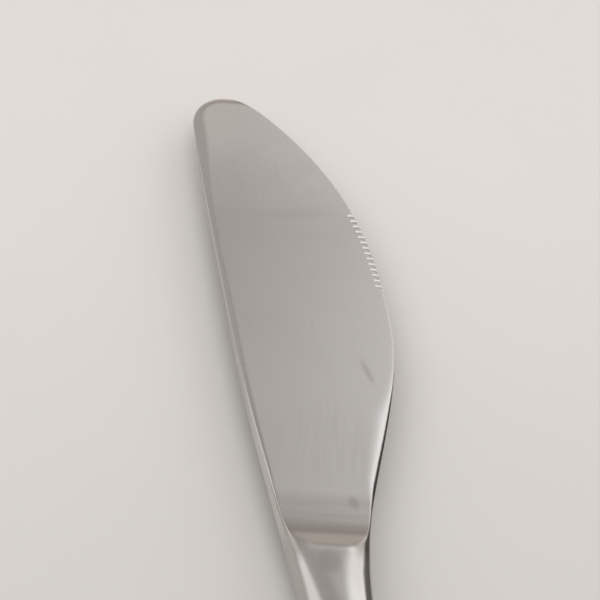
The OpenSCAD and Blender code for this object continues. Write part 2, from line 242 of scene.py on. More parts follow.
class Stage(bpy.types.PropertyGroup):
    """Camera, floor and light"""

    elevation: angle("Elevation", 42, "Height of the camera above the floor, as an angle")
    heading: angle("Heading", 14.96, "Turn of the view away from the knife's length")
    roll: angle("Roll", 12.8, "Roll of the camera")
    distance: length("Distance", 302 * MM, "From the camera to what it looks at")
    aim_along: length("Aim along", 40.15 * MM, "What the camera looks at, from the shoulder to the tip")
    aim_across: length("Aim across", -1.49 * MM, "What the camera looks at, from the axis to the spine")
    lens: number("Lens", 134.4, "Focal length in millimetres")
    clip_start: length("Clip start", 10 * MM, "Nearest thing that the camera shows")
    floor: colour("Floor", (0.757, 0.739, 0.718), "Colour of the floor")
    floor_width: length("Floor width", 4.0, "Width of the floor")
    sky: colour("Sky", (0.60, 0.575, 0.55), "Dim light from all round")
    far_sky: colour("Far sky", (0.90, 0.90, 0.915), "Light from beyond the tip")
    right_sky: colour("Right sky", (0.92, 0.895, 0.87), "Light from beyond the edge")
    left_sky: colour("Left sky", (0.55, 0.525, 0.503), "Light from beyond the spine")
    far_wall: colour("Far wall", (0.36, 0.325, 0.295), "Light from a wall low beyond the tip")
    horizon: colour("Horizon", (0.70, 0.63, 0.55), "Light from the foot of that wall")
    overhead_light: number("Overhead light", 1.05, "Radiance of the soft box overhead")
    fill_light: number("Fill light", 1.1, "Radiance of the soft box on the spine's side")
    window_light: number("Window light", 0.76, "Radiance of the tall soft box beyond the edge")
    card_light: number("Card light", 0.64, "Radiance of the small soft box beyond the spine")
    flag_pale: colour("Flag by the neck", (0.24, 0.235, 0.23), "Colour of the dark strip beside the neck")
    flag_dark: colour("Flag by the heel", (0.08, 0.075, 0.075), "Colour of the dark strip beside the heel")


# Formulas on whole arrays


def ease(x, start, end):
    """Smooth step: 0 up to start, 1 from end, 3u² - 2u³ between them."""
    u = np.clip((x - start) / (end - start), 0, 1)
    return u * u * (3 - 2 * u)


def mix(a, b, t):
    """a and b mixed by t."""
    return a + (b - a) * t


def hermite(x, start, end):
    """Cubic that leaves start and reaches end, each given as x, y and slope."""
    span = end[0] - start[0]
    u = (x - start[0]) / span
    bend = start[2] * (u**3 - 2 * u**2 + u) + end[2] * (u**3 - u**2)
    return mix(start[1], end[1], u * u * (3 - 2 * u)) + span * bend


def oval(across, fullness):
    """Height of a superellipse, from 1 in the middle to 0 where across is 1 or -1."""
    return (1 - np.abs(np.clip(across, -1, 1)) ** fullness) ** (1 / fullness)


def soft_min(a, b, width):
    """The lower of a and b, with a parabola where they differ by less than width."""
    near = np.clip(1 - np.abs(a - b) / width, 0, None)
    return np.minimum(a, b) - width * near**2 / 4


# Blade


def blade_length():
    """From the shoulder to the tip."""
    return BLADE_HIGH.x - shoulder_x()


def shoulder_x():
    """Place of the shoulder along the knife."""
    s = bpy.context.scene.blade_sizes
    return MOUTH_X + s.mouth_gap + s.neck_length


def crest_x(s):
    """Where the nose begins, from the shoulder."""
    return blade_length() - s.nose_length


def stem_half(s, t, x):
    """Half width of the spigot and tang: a straight taper with round notches cut into both sides."""
    spigot_x = -s.neck_length - t.spigot_length
    end_x = BLADE_LOW.x - shoulder_x()
    half = mix(t.tang_root_width, t.tang_end_width, (x - spigot_x) / (end_x - spigot_x)) / 2
    for i in range(t.notch_pairs):
        centre = mix(spigot_x, end_x, (i + 1) / (t.notch_pairs + 1))
        half = half - np.sqrt(np.clip(t.notch_radius**2 - (x - centre) ** 2, 0, None))
    return np.where(x < spigot_x, half, s.mouth_width / 2 - t.spigot_inset)


def spine_line(s, t, x):
    """Upper outline: the stem, cubics by way of the shoulder and the widest part, and a quarter ellipse."""
    shoulder = (0, s.shoulder_rise, math.tan(s.shoulder_rise_slope))
    middle = (s.belly_position, s.spine_mid_height, math.tan(s.spine_mid_slope))
    crest = (crest_x(s), s.spine_height, 0)
    u = np.clip((x - crest[0]) / s.nose_length, 0, 1)
    return np.select(
        [x < -s.neck_length, x < 0, x < middle[0], x < crest[0]],
        [
            stem_half(s, t, x),
            hermite(x, (-s.neck_length, s.mouth_width / 2, -math.tan(s.neck_slant)), shoulder),
            hermite(x, shoulder, middle),
            hermite(x, middle, crest),
        ],
        s.nose_height + (s.spine_height - s.nose_height) * np.sqrt(1 - u * u),
    )


def edge_line(s, t, x):
    """Lower outline: the stem, three cubics by way of the shoulder and the belly, and a nose that ends round.

    The nose is a sum of a square root and a straight line, shared so that it leaves the edge without a kink.
    """
    shoulder = (0, -s.shoulder_fall, -math.tan(s.shoulder_fall_slope))
    belly = (s.belly_position, -s.belly_depth, 0)
    join = (crest_x(s), s.nose_height - s.nose_drop, math.tan(s.nose_edge_slope))
    fall = s.nose_length * join[2]
    left = 1 - np.clip((x - join[0]) / s.nose_length, 0, 1)
    return np.select(
        [x < -s.neck_length, x < 0, x < belly[0], x < join[0]],
        [
            -stem_half(s, t, x),
            hermite(x, (-s.neck_length, -s.mouth_width / 2, -math.tan(s.neck_slant)), shoulder),
            hermite(x, shoulder, belly),
            hermite(x, belly, join),
        ],
        s.nose_height - 2 * (s.nose_drop - fall) * np.sqrt(left) - (2 * fall - s.nose_drop) * left,
    )


def face_height(s, x, y):
    """Half thickness between the ground faces: a plane that falls to the tip and leans to the edge."""
    fall = (s.shoulder_thickness - s.tip_thickness) / 2 / blade_length()
    return s.shoulder_thickness / 2 - fall * x + math.tan(s.face_lean) * y


def grind_rise(s, x):
    """Rise of the grind above the face: a wide arc before the shoulder, the wheel's arc behind it."""
    before = np.clip(s.runout_length - x, 0, s.runout_length)
    runout = s.runout_radius - np.sqrt(s.runout_radius**2 - before**2)
    rise = s.runout_radius - math.sqrt(s.runout_radius**2 - s.runout_length**2)
    wheel_x = s.shoulder_radius * math.sin(s.shoulder_slope)
    wheel_z = rise + s.shoulder_radius * math.cos(s.shoulder_slope)
    reach = np.clip(s.shoulder_radius**2 - (x - wheel_x) ** 2, 0, None)
    return np.where(x < 0, wheel_z - np.sqrt(reach), runout)


def neck_blend(s, x):
    """Share of the blade's section, from 0 in the neck to 1 in the blade."""
    return ease(x, -s.neck_length, s.neck_blend_length - s.neck_length)


def forging_height(s, t, x, y):
    """Half thickness of the forging: an oval neck that turns into a flat section with a full rim."""
    top = spine_line(s, t, x)
    bottom = edge_line(s, t, x)
    across = (2 * y - top - bottom) / (top - bottom)
    blend = neck_blend(s, x)
    neck = mix(s.mouth_fullness, s.neck_fullness, ease(x, -s.neck_square_length, 0))
    heel = ease(x, s.heel_length, s.heel_length + s.heel_fade_length)
    edge_side = mix(s.heel_fullness, s.edge_fullness, heel)
    spine_side = mix(s.spine_fullness, s.nose_fullness, ease(x, s.nose_round_start, crest_x(s)))
    fullness = mix(neck, np.where(across < 0, edge_side, spine_side), blend)
    nose = oval(np.clip((x - crest_x(s)) / s.nose_length, 0, 1), s.nose_fullness)
    stock = mix(s.rim_stock, s.nose_stock, ease(x, s.belly_position, crest_x(s)))
    return mix(s.neck_thickness / 2, stock * face_height(s, x, y), blend) * nose * oval(across, fullness)


def stem_height(s, t, x, y):
    """Half thickness of the spigot, which is oval, and of the tang, which is nearly a rectangle."""
    tang = x < -s.neck_length - t.spigot_length
    fullness = np.where(tang, t.tang_fullness, t.spigot_fullness)
    crown = np.where(tang, t.tang_thickness / 2, s.neck_thickness / 2 - t.spigot_inset)
    return crown * oval(y / stem_half(s, t, x), fullness)


def half_thickness(s, t, x, y):
    """Half thickness of the ground blade and its stem, and the share of it that is ground face."""
    forged = forging_height(s, t, x, y)
    ground = face_height(s, x, y) + grind_rise(s, x)
    crease = mix(s.shoulder_crease, s.blade_crease, neck_blend(s, x))
    face_share = ease(forged - ground, -crease, crease)
    blade = soft_min(forged, ground, crease)
    stem = x < -s.neck_length
    return np.where(stem, stem_height(s, t, x, y), blade), np.where(stem, 0, face_share)


def edge_slope(s, t, x):
    """Slope of the lower outline, over a short step."""
    step = 0.1 * MM
    return (edge_line(s, t, x + step) - edge_line(s, t, x - step)) / (2 * step)


def gullet_floor(s, e, t, x, y):
    """Height of the floor of the nearest gullet, or infinity off the teeth.

    Each gullet is a cylinder that leans out of the edge, square to it in plan.
    """
    middle = e.serration_start + e.tooth_pitch * (e.tooth_count - 1) / 2
    step = e.tooth_pitch / np.hypot(1, edge_slope(s, t, np.array(middle)))
    places = e.serration_start + step * np.arange(e.tooth_count)
    turns = np.arctan(edge_slope(s, t, places))
    lean = e.gullet_lean
    roots = edge_line(s, t, places)
    backs = e.gullet_radius - e.gullet_depth + face_height(s, places, roots) * math.sin(lean)
    floor = np.full(np.broadcast(x, y).shape, np.inf)
    for place, root, turn, back in zip(places, roots, turns, backs):
        along = (x - place) * math.cos(turn) + (y - root) * math.sin(turn)
        inward = (y - root) * math.cos(turn) - (x - place) * math.sin(turn)
        half = np.sqrt(np.clip(e.gullet_radius**2 - along**2, 0, None))
        height = (inward * math.cos(lean) + back - half) / math.sin(lean)
        floor = np.where(half > 0, np.minimum(floor, height), floor)
    return floor


def blade_stations(s, e, t):
    """Places of the sections, close together at the notches, the shoulder, the teeth and the nose.

    Each stretch has its start, its end and its number of sections. Round the nose they go by equal turns.
    """
    joint = 0.001 * MM
    shoulder_start = -6 * MM
    shoulder_end = 2 * MM
    bolster = -s.neck_length
    spigot = bolster - t.spigot_length
    teeth = e.serration_start - e.tooth_pitch
    teeth_end = e.serration_start + e.tooth_pitch * e.tooth_count
    stretches = (
        (BLADE_LOW.x - shoulder_x(), spigot - joint, 44),
        (spigot, bolster - joint, 4),
        (bolster, shoulder_start, 22),
        (shoulder_start, shoulder_end, 70),
        (shoulder_end, teeth, 60),
        (teeth, teeth_end, 160),
        (teeth_end, crest_x(s), 36),
    )
    nose = np.sin(np.linspace(0, math.pi / 2, NOSE_SECTIONS))[:-1]
    places = [np.linspace(*stretch) for stretch in stretches]
    return np.unique(np.concatenate([*places, crest_x(s) + s.nose_length * nose]))


def points_across(spine, edge):
    """Heights of each section's points from spine to edge, close together at both rims."""
    widest_share = 0.30
    width = (spine - edge)[:, None]
    spine_rim = np.minimum(2.6 * MM, widest_share * width)
    edge_rim = np.minimum(2.2 * MM, widest_share * width)
    spine_side = spine[:, None] - spine_rim * np.linspace(0, 1, RIM_POINTS) ** SPINE_CROWDING
    edge_side = edge[:, None] + edge_rim * np.linspace(1, 0, RIM_POINTS) ** EDGE_CROWDING
    face = np.linspace(0, 1, FACE_POINTS)[1:-1]
    middle = mix(spine[:, None] - spine_rim, edge[:, None] + edge_rim, face)
    return np.concatenate([spine_side, middle, edge_side], axis=1)


def blade_rings(s, e, t):
    """Sections of the blade and its stem as closed rings, with the share of ground face at each point.

    The share is -1 in the gullets. The ends of each section lie midway between its upper and lower side.
    """
    x = blade_stations(s, e, t)
    y = points_across(spine_line(s, t, x), edge_line(s, t, x))
    place = np.broadcast_to(x[:, None], y.shape)
    under, face_share = half_thickness(s, t, place, y)
    floor = gullet_floor(s, e, t, place, y)
    cut = floor < under
    over = np.minimum(under, floor)
    ends = [0, -1]
    beside = [1, -2]
    over[:, ends] = (over[:, beside] - under[:, beside]) / 2
    under[:, ends] = -over[:, ends]
    upper = np.stack([place, y, over], axis=-1)
    lower = np.stack([place, y, -under], axis=-1)
    rings = np.concatenate([upper, lower[:, -2:0:-1]], axis=1)
    satin = np.concatenate([np.where(cut, -1, face_share), face_share[:, -2:0:-1]], axis=1)
    tip = np.broadcast_to((blade_length(), s.nose_height, 0), rings[:1].shape)
    heel = np.broadcast_to((x[0], 0, 0), rings[:1].shape)
    rings = np.concatenate([heel, rings, tip]) + (shoulder_x(), AXIS_Y, AXIS_Z)
    return rings, np.concatenate([satin[:1] * 0, satin, satin[-1:]])


# Handle


def handle_half(h, d, inset):
    """Half width and half thickness of the handle at a distance from its mouth, less an inset.

    Both ease from the neck's size to the handle's. The butt closes as a quarter circle in plan and, squarer,
    in height.
    """
    s = bpy.context.scene.blade_sizes
    body = h.handle_length - h.butt_round_length
    grown = ease(d, 0, body)
    u = np.clip((d - body) / (h.butt_round_length - inset), 0, 1)
    width = mix(s.mouth_width, h.handle_width, grown) / 2 - inset
    thickness = mix(s.neck_thickness, h.handle_thickness, grown) / 2 - inset
    return width * np.sqrt(1 - u**2), thickness * (1 - u**3) ** (1 / 3)


def handle_stations(h, inset):
    """Distances of the sections from the mouth, evenly along the body and by equal turns round the butt."""
    body = h.handle_length - h.butt_round_length
    turn = np.linspace(0, math.pi / 2, BUTT_SECTIONS)[1:]
    butt = body + (h.butt_round_length - inset) * np.sin(turn)
    return np.concatenate([np.linspace(0, body, BODY_SECTIONS), butt])


def shell_skin(h, inset):
    """Arcs of one skin of the upper shell, from its spine side over the top to its edge side."""
    d = handle_stations(h, inset)
    width, thickness = handle_half(h, d, inset)
    a = np.linspace(0, math.pi, ARC_POINTS)
    power = 2 / h.handle_fullness
    foot = h.seam_height / 2
    y = np.outer(width, np.sign(np.cos(a)) * np.abs(np.cos(a)) ** power)
    z = foot + np.outer(np.clip(thickness - foot, 0, None), np.abs(np.sin(a)) ** power)
    return np.stack([np.broadcast_to(-d[:, None], y.shape), y, z], axis=-1)


def shell_rings(h, side):
    """Closed rings of a shell: the outer arc and the inner arc back, joined in mid-wall at the mouth.

    side is 1 for the upper shell and -1 for its mirror image below.
    """
    outer = shell_skin(h, 0)
    inner = shell_skin(h, h.shell_wall)
    mouth = (outer[:1] + inner[:1]) / 2
    outer = np.concatenate([mouth, outer])
    inner = np.concatenate([mouth, inner])
    rings = np.concatenate([outer, inner[:, ::-1]], axis=1)
    return rings * (1, 1, side) + (MOUTH_X, AXIS_Y, AXIS_Z)


def seam_rings(h):
    """A rectangular profile carried round the handle's plan, from one side of the mouth to the other."""
    sides = []
    for inset in (0, h.shell_wall):
        d = handle_stations(h, inset)
        width = handle_half(h, d, inset)[0]
        half_plan = np.stack([-d, width, np.zeros_like(d)], axis=-1)
        sides.append(np.concatenate([half_plan, half_plan[-2::-1] * (1, -1, 1)]))
    outer, inner = sides
    up = np.array((0, 0, h.seam_height / 2))
    rings = np.stack([outer + up, outer - up, inner - up, inner + up], axis=1)
    ends = [np.broadcast_to(ring.mean(axis=0), ring.shape)[None] for ring in (rings[0], rings[-1])]
    return np.concatenate([ends[0], rings, ends[1]]) + (MOUTH_X, AXIS_Y, AXIS_Z)


# Meshes


def add_mesh(name, rings, sharp_angle, **attributes):
    """An object whose mesh joins closed rings in order, with doubles merged and faces outwards.

    rings is rows by points by 3. Each attribute is an array of rows by points.
    """
    rows, points = rings.shape[:2]
    index = np.arange(rows * points).reshape(rows, points)
    after = np.roll(index, -1, axis=1)
    faces = np.stack([index[:-1], after[:-1], after[1:], index[1:]], axis=-1).reshape(-1, 4)
    mesh = bpy.data.meshes.new(name)
    mesh.from_pydata(rings.reshape(-1, 3).tolist(), [], faces.tolist())
    for key, values in attributes.items():
        attribute = mesh.attributes.new(key, "FLOAT", "POINT")
        attribute.data.foreach_set("value", values.astype(np.float32).ravel())
    shape = bmesh.new()
    shape.from_mesh(mesh)
    bmesh.ops.remove_doubles(shape, verts=shape.verts, dist=DOUBLES)
    bmesh.ops.recalc_face_normals(shape, faces=shape.faces)
    shape.to_mesh(mesh)
    shape.free()
    mesh.polygons.foreach_set("use_smooth", np.ones(len(mesh.polygons), bool))
    mesh.set_sharp_from_angle(angle=sharp_angle)
    mesh.update()
    piece = bpy.data.objects.new(name, mesh)
    bpy.context.scene.collection.objects.link(piece)
    return piece


def fit_piece(piece, material, slot, *nodes):
    """Gives a piece its material and ties it to the frame in place of the nodes that it stands for."""
    piece.data.materials.append(material)
    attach(piece, BODY)
    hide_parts(*nodes)


# Materials


class Wire:
    """One output of a node. Arithmetic on it adds Math nodes to the same tree."""

    def __init__(self, finish, socket):
        self.finish = finish
        self.socket = socket

    def out(self, name):
        """Another output of the same node."""
        return Wire(self.finish, self.socket.node.outputs[name])

    def math(self, operation, *values):
        """A Math node on these values."""
        return self.finish.add("ShaderNodeMath", {"operation": operation}, dict(enumerate(values)))

    def __add__(self, other):
        return self.math("ADD", self, other)

    def __radd__(self, other):
        return self.math("ADD", other, self)

    def __sub__(self, other):
        return self.math("SUBTRACT", self, other)

    def __rsub__(self, other):
        return self.math("SUBTRACT", other, self)

    def __mul__(self, other):
        return self.math("MULTIPLY", self, other)

    def __rmul__(self, other):
        return self.math("MULTIPLY", other, self)

    def __truediv__(self, other):
        return self.math("DIVIDE", self, other)

    def __rtruediv__(self, other):
        return self.math("DIVIDE", other, self)

    def step(self, start, end):
        """Smooth step from 0 at start to 1 at end."""
        sockets = {"Value": self, "From Min": start, "From Max": end}
        return self.finish.add("ShaderNodeMapRange", {"interpolation_type": "SMOOTHSTEP"}, sockets)

    def band(self, start, full, fade, end):
        """1 from full to fade, with smooth steps up from start and down to end."""
        return self.step(start, full) * (1 - self.step(fade, end))


class Finish:
    """A node tree with one method that adds any node."""

    def __init__(self, tree):
        self.tree = tree
        tree.nodes.clear()

    def add(self, kind, settings=None, sockets=None, output=0):
        """Adds a node, sets its settings and then its sockets, and returns one of its outputs."""
        node = self.tree.nodes.new(kind)
        for key, value in (settings or {}).items():
            setattr(node, key, value)
        for key, value in (sockets or {}).items():
            if isinstance(value, Wire):
                self.tree.links.new(value.socket, node.inputs[key])
            else:
                node.inputs[key].default_value = value
        return Wire(self, node.outputs[output]) if node.outputs else None

    def point(self):
        """Object coordinates."""
        return self.add("ShaderNodeTexCoord", output="Object")

    def parts(self, point):
        """The x, y and z of a point."""
        xyz = self.add("ShaderNodeSeparateXYZ", sockets={0: point})
        return xyz.out("X"), xyz.out("Y"), xyz.out("Z")

    def noise(self, point, stretch, turn=0.0, detail=2.0, roughness=0.5):
        """Noise with so many waves a metre along each axis, turned about z."""
        turned = self.add("ShaderNodeMapping", sockets={"Vector": point, "Rotation": (0, 0, turn)})
        scaled = self.add("ShaderNodeVectorMath", {"operation": "MULTIPLY"}, {0: turned, 1: stretch})
        sockets = {"Vector": scaled, "Scale": 1, "Detail": detail, "Roughness": roughness}
        return self.add("ShaderNodeTexNoise", sockets=sockets)

    def mix_colour(self, amount, a, b):
        """Colour a where amount is 0 and b where it is 1."""
        sockets = {0: amount, 6: with_alpha(a), 7: with_alpha(b)}
        return self.add("ShaderNodeMix", {"data_type": "RGBA"}, sockets, output=2)

    def bump(self, height, distance):
        """Normal from a height, where 1 stands for the distance."""
        return self.add("ShaderNodeBump", sockets={"Height": height, "Distance": distance})

    def surface(self, sockets):
        """Ends the tree in a Principled shader."""
        shader = self.add("ShaderNodeBsdfPrincipled", sockets=sockets)
        self.add("ShaderNodeOutputMaterial", sockets={"Surface": shader})


def with_alpha(value):
    """A colour as four numbers, or a wire as it is."""
    return value if isinstance(value, Wire) else (*value, 1)


def tinted(shade, gain):
    """A colour times a gain, which is one number or one for each channel."""
    return np.multiply(tuple(shade), gain).tolist()


def new_material(name):
    """A material and the finish that fills its nodes."""
    material = bpy.data.materials.new(name)
    material.use_nodes = True
    return material, Finish(material.node_tree)


# Blade finish

# Gains on the steel's colour, for painted highlights, brown darkening and painted shade on the spine's corner
HIGHLIGHT_GAIN = 1.5
BROWN = (0.62, 0.59, 0.56)
WALL_HIGHLIGHT_GAIN = 1.35
CORNER_SHADE_GAIN = 0.9

# Marks and painted shade, in millimetres: centre from the shoulder and the handle's axis, half length and
# half width, and turn
SCUFF = ((26.4, -8.9), (3.0, 0.6), 0.24)
STAIN = ((57.5, 4.5), (3.4, 2.2), 0.6)
DOT = ((34.9, -2.4), (0.5, 0.3), 0.0)
STREAK = ((57.1, -0.5), (9.5, 1.5), -1.465)
RUBBED = ((13.0, -2.3), (10.0, 7.5), 0.0)
SMUDGE = ((3.1, -4.0), (1.6, 0.9), 0.1)
# Painted shade on the neck's crown
NECK_CROWN_SHADE = ((-7.8, 0.6), (2.6, 1.8), 0.0)

# Painted shade in brown bands across the shoulder: stretches in millimetres past which it is less, and by how
# much
BAND_FADES = (((3.0, 5.2), 0.50), ((-1.6, -0.8), 0.11), ((0.8, 1.3), 0.12))


class BladePlace:
    """Where a point of the blade lies, in millimetres from the shoulder, the axis and the middle plane.

    The mesh says how it is worked there: its satin attribute is the share of ground face, or -1 in a gullet.
    """

    def __init__(self, t):
        self.point = t.point()
        x, y, z = t.parts(self.point)
        self.along = (x - shoulder_x()) / MM
        self.across = (y - AXIS_Y) / MM
        self.high = (z - AXIS_Z) / MM
        worked = t.add("ShaderNodeAttribute", {"attribute_name": "satin"}, output="Fac")
        self.satin = worked.math("MAXIMUM", worked, 0.0)
        self.rim = 1 - self.satin
        self.gullet = (0 - worked).step(0.3, 0.9)
        self.upper = self.high.step(0.0, 0.2)

    def patch(self, centre, size, turn):
        """A soft oval on the upper side, 1 at its centre and 0 at its rim."""
        dx = self.along - centre[0]
        dy = self.across - centre[1]
        u = (dx * math.cos(turn) + dy * math.sin(turn)) / size[0]
        v = (dy * math.cos(turn) - dx * math.sin(turn)) / size[1]
        return (1 - (u * u + v * v).step(0, 1)) * self.upper


def blade_marks(t, b, wear, cloud):
    """Marks that dull the upper face: a scuff, a dot, a streak, a cloudy stain and a rubbed patch."""
    stain = b.patch(*STAIN) * cloud.step(0.45, 0.7)
    rubs = t.noise(b.point, (120, 1500, 900), turn=0.15, detail=3).step(0.42, 0.66) * b.patch(*RUBBED)
    marks = b.patch(*SCUFF) * wear.scuff + b.patch(*DOT) * wear.dot + b.patch(*STREAK) * wear.streak
    return marks + stain * wear.stain + rubs * wear.rubs


def blade_painted_shade_and_smudge(t, b, wear, bend):
    """Brown darkening, much of it painted shade: lined bands across the shoulder, a smudge, and parts of the
    rims.
    """
    # Painted shade in brown bands across the shoulder, with faint lines in it
    bands = wear.bands
    for stretch, fade in BAND_FADES:
        bands = bands - b.along.step(*stretch) * fade
    lines = t.noise(b.point, (1500, 60, 1500), detail=2).step(0.35, 0.65)
    bands = bands * b.along.step(-3.2, -2.2) * b.satin * (0.8 + lines * 0.2)
    # A smudge above the shoulder, and painted shade on the neck's crown
    smudge_and_crown_shade = b.patch(*SMUDGE) * wear.smudge + b.patch(*NECK_CROWN_SHADE) * wear.crown_shade
    # Darker rim on the edge's side of the neck
    neck_side = b.along.band(-8.5, -4.5, -0.5, 1.0) * (1 - b.across.step(-3.4, -2.2))
    # Painted shade on the rim along the edge, from 24 mm on, away from the gullets
    edge_rim = (1 - b.gullet) * b.along.step(24, 32) * (1 - b.across.step(-4, 0))
    # Painted shade on the lower part of the spine's wall, deeper towards the tip
    spine_wall = (1 - b.high.step(0.1, 0.45)) * b.across.step(0, 2)
    spine_wall = spine_wall * (b.along.step(12, 20) * 0.15 + b.along.step(28, 40) * 0.4)
    rims = neck_side * wear.neck_side + edge_rim * wear.edge_rim + spine_wall
    return bands + smudge_and_crown_shade + rims * b.rim + bend * wear.bend


def blade_painted_light(t, b, f):
    """Steel's colour with painted highlights at the tip, in the gullets, along the spine and below the
    shoulder.
    """
    # Painted highlights on the spine's rim and on its side of the neck, and a painted halo below the shoulder
    spine = b.rim * b.across.step(2, 4)
    neck = spine * b.along.band(-16, -8, -4, 0) * (1 - b.high.step(0.9, 1.5))
    below = b.rim * b.along.band(-6.4, -5.4, -3.2, -2.4) * b.across.band(-3.5, -2.0, 2.6, 3.6)
    # Painted highlight towards the tip and in the gullets
    painted_highlight = b.along.step(52, 84) * (0.1 + b.satin * 0.9) + b.gullet * 0.3
    painted_highlight = painted_highlight + spine * b.along.step(14, 24) * 0.2 + neck * 0.25 + below * 0.3
    # Painted highlight on the spine's wall by the shoulder, and painted shade on its upper corner
    rim = b.rim * b.along.band(-4, 0, 12, 30) * b.across.step(0, 2)
    corner = b.high.step(0.75, 1.0)
    rim_shade = t.mix_colour(corner, tinted(f.steel, WALL_HIGHLIGHT_GAIN), tinted(f.steel, CORNER_SHADE_GAIN))
    return t.mix_colour(rim, t.mix_colour(painted_highlight, f.steel, tinted(f.steel, HIGHLIGHT_GAIN)), rim_shade)


def blade_steel(f, wear):
    """Satin ground faces with grain, hairlines and marks, polished neck and rims, painted highlights and
    shade.
    """
    material, t = new_material("blade_steel")
    b = BladePlace(t)
    grain = t.noise(b.point, (160, 5000, 5000), detail=1)
    cloud = t.noise(b.point, (70, 70, 70), detail=4, roughness=0.6)
    hairs = t.noise(b.point, (110, 5200, 900), turn=0.10, detail=1).step(0.70, 0.78)
    cross_hairs = t.noise(b.point, (130, 4300, 900), turn=-0.42, detail=1).step(0.73, 0.80)
    scratches = (hairs + cross_hairs) * b.satin * (1 - b.along.step(28, 44) * 0.9)
    marks = blade_marks(t, b, wear, cloud)
    # Darker, rougher rim where the spine bends into the neck
    bend = b.rim * b.along.step(-8.5, -5.5) * b.across.step(3.6, 4.1) * b.high.step(1.5, 1.9)
    flank = b.rim * (1 - b.along.step(-4, -1)) * b.across.step(1.5, 3)
    neck = 1 - b.along.step(-3, 0)
    shade = t.mix_colour(blade_painted_shade_and_smudge(t, b, wear, bend), blade_painted_light(t, b, f), tinted(f.steel, BROWN))
    worn = marks + (1 - cloud.step(0.3, 0.7)) * wear.clouds * b.satin
    roughness = f.polish + b.satin * (f.satin - f.polish) + (grain - 0.5) * 0.05 * b.satin
    roughness = roughness + (cloud - 0.5) * 0.06 + marks * 0.12 + b.gullet * 0.05
    t.surface(
        {
            "Base Color": t.mix_colour(worn, shade, f.steel_worn),
            "Metallic": 1.0,
            "Roughness": roughness + bend * 0.15 + flank * 0.08 + neck * 0.02,
            "Normal": t.bump(grain * b.satin * 0.15 - scratches * 0.2, 0.0012 * MM),
        }
    )
    return material


# Other finishes


def handle_steel(f):
    """Bright polished steel with faint clouds, lengthwise hairlines and a few crossing ones."""
    material, t = new_material("handle_steel")
    point = t.point()
    cloud = t.noise(point, (60, 110, 110), detail=4, roughness=0.6)
    hairs = t.noise(point, (90, 5600, 5600), turn=0.05, detail=1).step(0.68, 0.78)
    cross_hairs = t.noise(point, (140, 3900, 2600), turn=0.5, detail=1).step(0.72, 0.80)
    scratches = hairs + cross_hairs
    t.surface(
        {
            "Base Color": t.mix_colour((1 - cloud) * 0.3 + scratches * 0.2, f.handle_steel, f.steel_worn),
            "Metallic": 1.0,
            "Roughness": f.polish + (cloud - 0.5) * 0.10 + scratches * 0.06,
            "Normal": t.bump(0.5 - scratches * 0.5, 0.001 * MM),
        }
    )
    return material


def braze_metal(f):
    """Pale brazing filler, polished flush with fine pits and a slightly darker cloud."""
    material, t = new_material("braze")
    point = t.point()
    cloud = t.noise(point, (400, 400, 400), detail=3)
    pits = t.noise(point, (9000, 9000, 9000), detail=1).step(0.66, 0.76)
    t.surface(
        {
            "Base Color": t.mix_colour(cloud * 0.5 + pits * 0.5, f.braze, tinted(f.braze, 0.72)),
            "Metallic": 1.0,
            "Roughness": 0.22 + cloud * 0.12 + pits * 0.2,
            "Normal": t.bump(1 - pits, 0.002 * MM),
        }
    )
    return material


def cement_filler(f):
    """Sandy filler: two sizes of grain in colour and height."""
    material, t = new_material("cement")
    point = t.point()
    sand = t.noise(point, (2600, 2600, 2600), detail=4, roughness=0.7)
    lumps = t.noise(point, (260, 260, 260), detail=3)
    grains = (sand * 0.6 + lumps * 0.4).step(0.35, 0.7)
    t.surface(
        {
            "Base Color": t.mix_colour(grains, tinted(f.cement, 0.55), f.cement),
            "Roughness": 0.82 + sand * 0.15,
            "Normal": t.bump(sand + lumps, 0.08 * MM),
        }
    )
    return material


def floor_finish(stage):
    """Pale matt board with a faint mottle, and painted shade that darkens it a little towards the handle."""
    material, t = new_material("floor")
    point = t.point()
    x = t.parts(point)[0]
    mottle = t.noise(point, (35, 35, 35), detail=3)
    # Painted shade: the floor grows darker towards the handle
    near = 1 - x.step(shoulder_x() - 40 * MM, shoulder_x() + 90 * MM)
    t.surface(
        {
            "Base Color": t.mix_colour(near + mottle * 0.2, stage.floor, tinted(stage.floor, 0.86)),
            "Roughness": 0.75 + mottle * 0.1,
        }
    )
    return material


def flag_finish(stage):
    """Matt cloth, darker beside the heel than beside the neck."""
    material, t = new_material("flag")
    x = t.parts(t.point())[0]
    heel = x.step(shoulder_x() + 6 * MM, shoulder_x() + 15 * MM)
    t.surface({"Base Color": t.mix_colour(heel, stage.flag_pale, stage.flag_dark), "Roughness": 0.9})
    return material


# Stage

# Where one part of the sky gives way to the next, as parts of a direction along, across or up
TIP_END = (0.42, 0.68)
EDGE_SIDE = (-0.80, -0.40)
SPINE_SIDE = (-0.40, -0.12)
WALL_END = (-0.12, 0.12)
WALL_FOOT = (0.24, 0.40)
WALL_TOP = (0.37, 0.66)

# Soft boxes that look at the shoulder: heading and elevation in degrees, distance, width and height
SOFT_BOXES = {
    "fill": (90, 52, 2.0, 1.8, 1.4),
    "window": (-40, 23, 0.9, 0.55, 0.64),
    "card": (62.5, 24.4, 0.0946, 0.062, 0.092),
}
OVERHEAD_PLACE = (-0.34, 0.02, 1.0)
OVERHEAD_SIZE = (1.35, 0.6)

# Dark strip beside the edge, from neck to belly: its two ends from the shoulder, its crest and its heights
FLAG_ENDS = ((-22 * MM, -12.5 * MM), (36 * MM, -21 * MM))
FLAG_CREST = 0.655
FLAG_HEIGHTS = (8 * MM, 14.7 * MM, 11.5 * MM)


def direction(heading, elevation):
    """Unit vector at a heading, from +X towards +Y, and an elevation above the level."""
    level = math.cos(elevation)
    return np.array((level * math.cos(heading), level * math.sin(heading), math.sin(elevation)))


